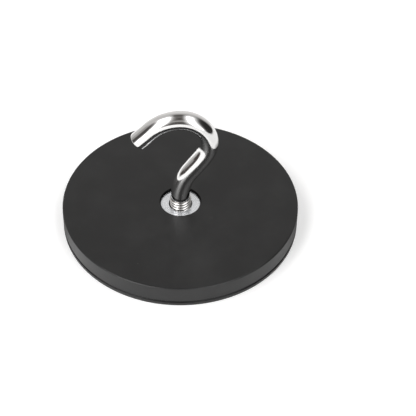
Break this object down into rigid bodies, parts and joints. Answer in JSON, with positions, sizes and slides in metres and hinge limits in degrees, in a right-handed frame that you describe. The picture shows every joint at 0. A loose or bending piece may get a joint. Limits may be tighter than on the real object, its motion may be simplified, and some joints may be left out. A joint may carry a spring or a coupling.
{
  "type": "rubber-coated pot magnet with hook",
  "caption": "Flat round holding magnet: disc magnets on a steel plate, overmoulded in black rubber, with a central threaded bush and an open steel hook to hang things from.",
  "frame": {"origin": "on the magnet's axis, in the plane of its rubber holding face", "axes": "+Z along the axis from the holding face towards the hook; the hook is bent in the XZ plane with its mouth towards -X"},
  "size_m": [0.088, 0.088, 0.0524],
  "materials": {
    "black_rubber": "satin moulded rubber",
    "plate_steel": "rolled, zinc-plated",
    "turned_steel": "turned, zinc-plated",
    "nickel_plate": "nickel-plated",
    "polished_chrome": "polished and plated"
  },
  "bodies": {
    "root": {"rubber_jacket": "black_rubber", "base_plate": "plate_steel", "threaded_bush": "turned_steel", "magnet_01": "nickel_plate", "magnet_02": "nickel_plate", "magnet_03": "nickel_plate", "magnet_04": "nickel_plate", "magnet_05": "nickel_plate", "magnet_06": "nickel_plate", "magnet_07": "nickel_plate", "magnet_08": "nickel_plate", "magnet_09": "nickel_plate", "magnet_10": "nickel_plate", "magnet_11": "nickel_plate", "magnet_12": "nickel_plate", "magnet_13": "nickel_plate", "magnet_14": "nickel_plate", "magnet_15": "nickel_plate", "magnet_16": "nickel_plate", "magnet_17": "nickel_plate", "magnet_18": "nickel_plate", "hook": "polished_chrome"}
  },
  "joints": []
}
